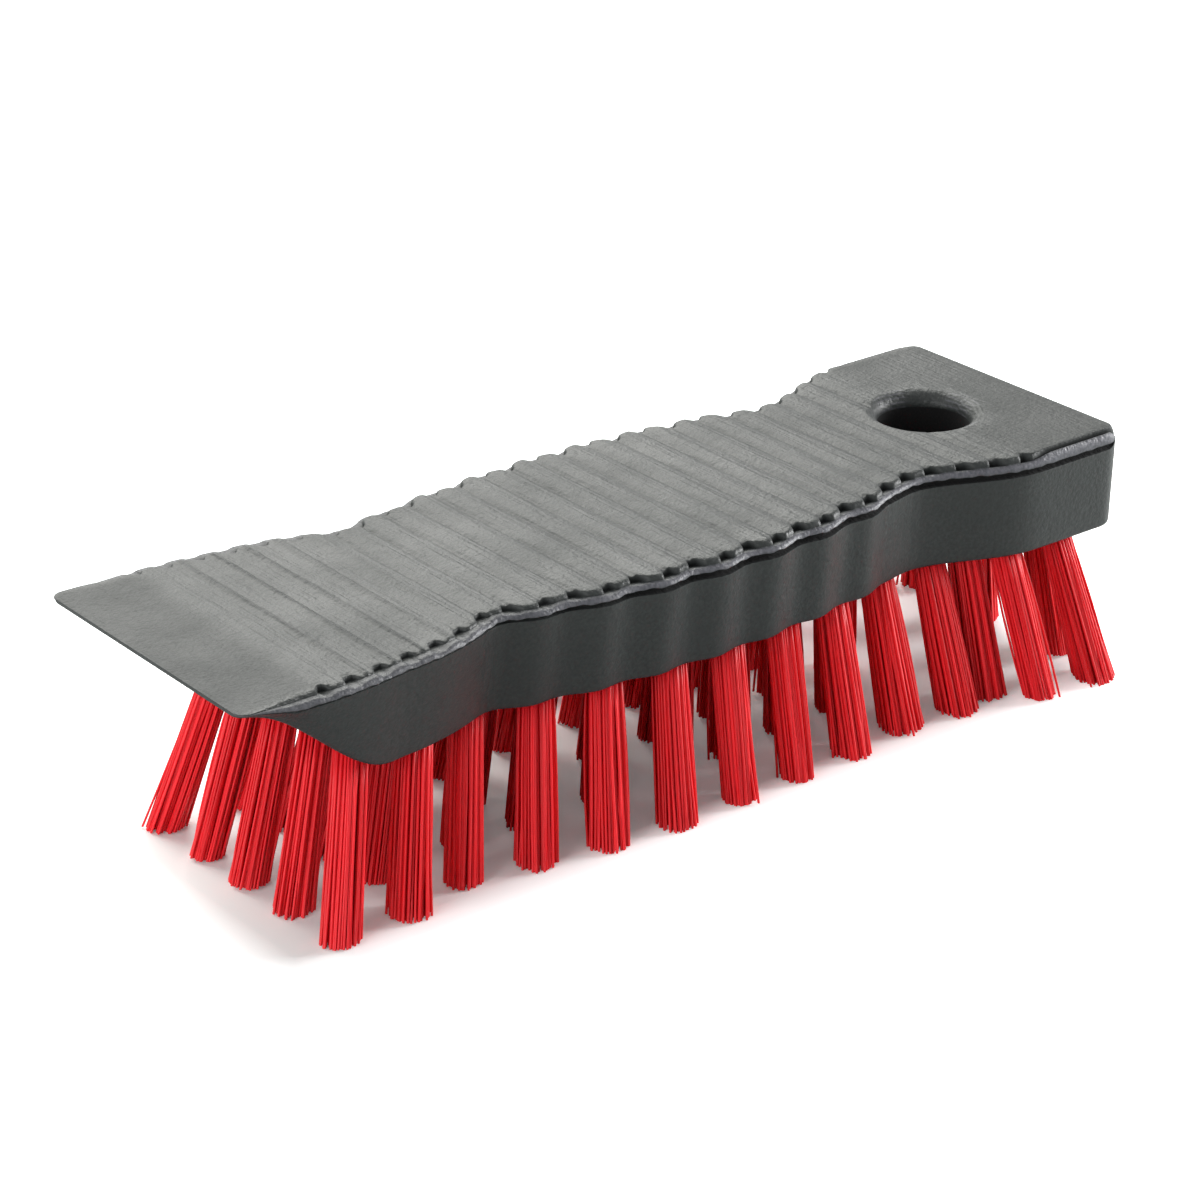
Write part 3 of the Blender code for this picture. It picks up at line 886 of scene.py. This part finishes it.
def blockPlastic():
    look = plasticLook
    material, tree, shader = newMaterial("moulded_block_plastic", look["specular"])
    grain = node(tree, "ShaderNodeGroup", node_tree=mouldGrainGroup())
    grain.inputs["Scale"].default_value = look["grainScale"]
    pits = grain.outputs["Pits"]
    mottle = noiseFactor(tree, look["mottleScale"], look["mottleDetail"])
    tone = mathNode(tree, "MULTIPLY", mathNode(tree, "MULTIPLY", pits, mottle), look["toneGain"])
    # The attribute carries painted light and shade: positive tones mix in the rim's painted highlight, broken
    # up by the pits, and negative tones mix in painted shade and make the surface rougher.
    edge = attribute(tree, "paintedLightAndShade")
    wearAndHighlightSpeckle = mapRange(tree, pits, (0.0, 1.0), look["rimHighlightSpeckle"])
    paintedHighlight = mathNode(tree, "MULTIPLY", mapRange(tree, edge, (0.0, 1.0)), wearAndHighlightSpeckle)
    paintedShade = mapRange(tree, edge, (0.0, -1.0))
    skinAndHighlight = mixColour(tree, paintedHighlight, mixColour(tree, tone, look["dark"], look["light"]), look["rim"])
    link(tree, mixColour(tree, paintedShade, skinAndHighlight, look["groove"]), shader.inputs["Base Color"])
    rough = mapRange(tree, mottle, look["mottleRange"], look["roughness"])
    dull = mathNode(tree, "MULTIPLY", paintedShade, look["grooveDullness"])
    link(tree, mathNode(tree, "ADD", rough, dull), shader.inputs["Roughness"])
    bump = node(tree, "ShaderNodeBump")
    bump.inputs["Distance"].default_value = look["grainDepth"]
    link(tree, grain.outputs["Height"], bump.inputs["Height"])
    link(tree, bump.outputs["Normal"], shader.inputs["Normal"])
    return material


bristleLook = {
    "deep": (0.68, 0.006, 0.012, 1.0),
    "bright": (0.92, 0.016, 0.026, 1.0),
    "tip": (0.92, 0.035, 0.045, 1.0),
    "tipReach": 0.06,
    "tipWear": 0.4,
    "roughness": (0.34, 0.52),
    "specular": 0.32,
    "streakScale": 900.0,
    "streakDetail": 2.0,
}


def bristlePlastic():
    look = bristleLook
    material, tree, shader = newMaterial("red_bristle_filament", look["specular"])
    body = mixColour(tree, attribute(tree, "filamentTone"), look["deep"], look["bright"])
    nearTip = mapRange(tree, attribute(tree, "filamentHeight"), (look["tipReach"], 0.0))
    wearAndHighlightSpeckle = mathNode(tree, "MULTIPLY", nearTip, look["tipWear"])
    link(tree, mixColour(tree, wearAndHighlightSpeckle, body, look["tip"]), shader.inputs["Base Color"])
    streak = noiseFactor(tree, look["streakScale"], look["streakDetail"])
    link(tree, mapRange(tree, streak, (0.0, 1.0), look["roughness"]), shader.inputs["Roughness"])
    return material


white = (1.0, 1.0, 1.0, 1.0)

studio = {
    "floorSize": 6.0,
    "floorColour": (0.86, 0.9, 0.9, 1.0),
    "floorRoughness": 0.9,
    "floorSpecular": 0.1,
    "floorLift": (0.1, 0.8),  # painted light: what the camera alone sees added to the floor, little under the brush and much off it, which paints out the brush's shadow off it
    "floorLiftReach": (-12.0 * mm, 2.0 * mm),
    "worldLight": 0.24,
}


def buildFloor():
    low, high = cadBox
    half = studio["floorSize"] / 2
    mesh = bpy.data.meshes.new("studio_floor")
    corners = [(x, y, low.z) for x, y in ((-half, -half), (half, -half), (half, half), (-half, half))]
    mesh.from_pydata(corners, [], [(0, 1, 2, 3)])
    floor = addObject("studio_floor", mesh)
    material, tree, shader = newMaterial("pale_floor", studio["floorSpecular"])
    shader.inputs["Base Color"].default_value = studio["floorColour"]
    shader.inputs["Roughness"].default_value = studio["floorRoughness"]
    shader.inputs["Emission Color"].default_value = white
    away = node(tree, "ShaderNodeSeparateXYZ")
    link(tree, node(tree, "ShaderNodeNewGeometry").outputs["Position"], away.inputs[0])
    across = mathNode(tree, "SUBTRACT", mathNode(tree, "ABSOLUTE", away.outputs[1]), high.y)
    along = mathNode(tree, "SUBTRACT", mathNode(tree, "ABSOLUTE", away.outputs[0]), high.x)
    off = mathNode(tree, "MAXIMUM", across, along)
    # painted light on the floor for the camera only, growing away from the brush
    path = node(tree, "ShaderNodeLightPath")
    lift = mapRange(tree, off, studio["floorLiftReach"], studio["floorLift"])
    lift = mathNode(tree, "MULTIPLY", path.outputs["Is Camera Ray"], lift)
    link(tree, lift, shader.inputs["Emission Strength"])
    mesh.materials.append(material)


def buildWorld():
    world = bpy.data.worlds.new("studio_world")
    bpy.context.scene.world = world
    world.use_nodes = True
    tree = world.node_tree
    back = tree.nodes["Background"]
    back.inputs["Color"].default_value = white
    path = node(tree, "ShaderNodeLightPath")
    seen = mathNode(tree, "MAXIMUM", path.outputs["Is Camera Ray"], path.outputs["Is Transmission Ray"])
    seen = mathNode(tree, "MAXIMUM", seen, path.outputs["Is Glossy Ray"])
    lit = mathNode(tree, "MULTIPLY", seen, 1.0 - studio["worldLight"])
    link(tree, mathNode(tree, "ADD", lit, studio["worldLight"]), back.inputs["Strength"])


# Azimuths are in degrees from +X towards +Y.
lamps = {
    "rearBox": {
        "azimuth": 78.0,
        "elevation": 40.0,
        "distance": 1.9,
        "size": (2.2, 1.5),
        "watts": 60.0,
        "colour": (1.0, 1.0, 0.95),
    },
    "rightBox": {
        "azimuth": -18.0,
        "elevation": 13.0,
        "distance": 1.4,
        "size": (0.5, 0.6),
        "watts": 25.0,
        "colour": (1.0, 1.0, 1.0),
    },
    "leftBox": {
        "azimuth": 190.0,
        "elevation": 17.0,
        "distance": 1.3,
        "size": (0.8, 0.8),
        "watts": 10.0,
        "colour": (1.0, 1.0, 1.0),
    },
}

cameraView = {
    "azimuth": -128.253,
    "elevation": 24.691,
    "distance": 0.71841,
    "target": (-0.001825, 0.003586, 0.033668),
    "lens": 104.776,
    "sensor": 36.0,
    "clipStart": 0.01,
}


def direction(view):
    a, e = math.radians(view["azimuth"]), math.radians(view["elevation"])
    return Vector((math.cos(a) * math.cos(e), math.sin(a) * math.cos(e), math.sin(e)))


def addSoftbox(name, box):
    lamp = bpy.data.lights.new(name, "AREA")
    lamp.shape = "RECTANGLE"
    lamp.size, lamp.size_y = box["size"]
    lamp.energy = box["watts"]
    lamp.color = box["colour"]
    made = addObject(name, lamp)
    way = direction(box)
    made.location = way * box["distance"]
    made.rotation_euler = way.to_track_quat("Z", "Y").to_euler()
    made.visible_camera = False


def buildCamera():
    data = bpy.data.cameras.new("camera")
    data.lens = cameraView["lens"]
    data.sensor_width = cameraView["sensor"]
    data.clip_start = cameraView["clipStart"]
    camera = addObject("camera", data)
    back = direction(cameraView)
    camera.location = Vector(cameraView["target"]) + back * cameraView["distance"]
    camera.rotation_euler = back.to_track_quat("Z", "Y").to_euler()
    bpy.context.scene.camera = camera


def dressBlock(material):
    body = buildBlock()
    body.data.materials.clear()
    body.data.materials.append(material)
    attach(body, "root")
    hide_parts("block")


def dressTufts(material):
    for index, name in enumerate(tuftNames()):
        tuft = buildTuft(name, index)
        tuft.data.materials.append(material)
        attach(tuft, "root")
        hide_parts(name)
    print("tufts:", len(tuftNames()), "with", tuftShape["filaments"], "filaments each")


bpy.context.scene.view_settings.view_transform = "Standard"
buildCamera()
buildFloor()
buildWorld()
for name, box in lamps.items():
    addSoftbox(name, box)
print("studio: camera, floor and lamps")
dressBlock(blockPlastic())
dressTufts(bristlePlastic())
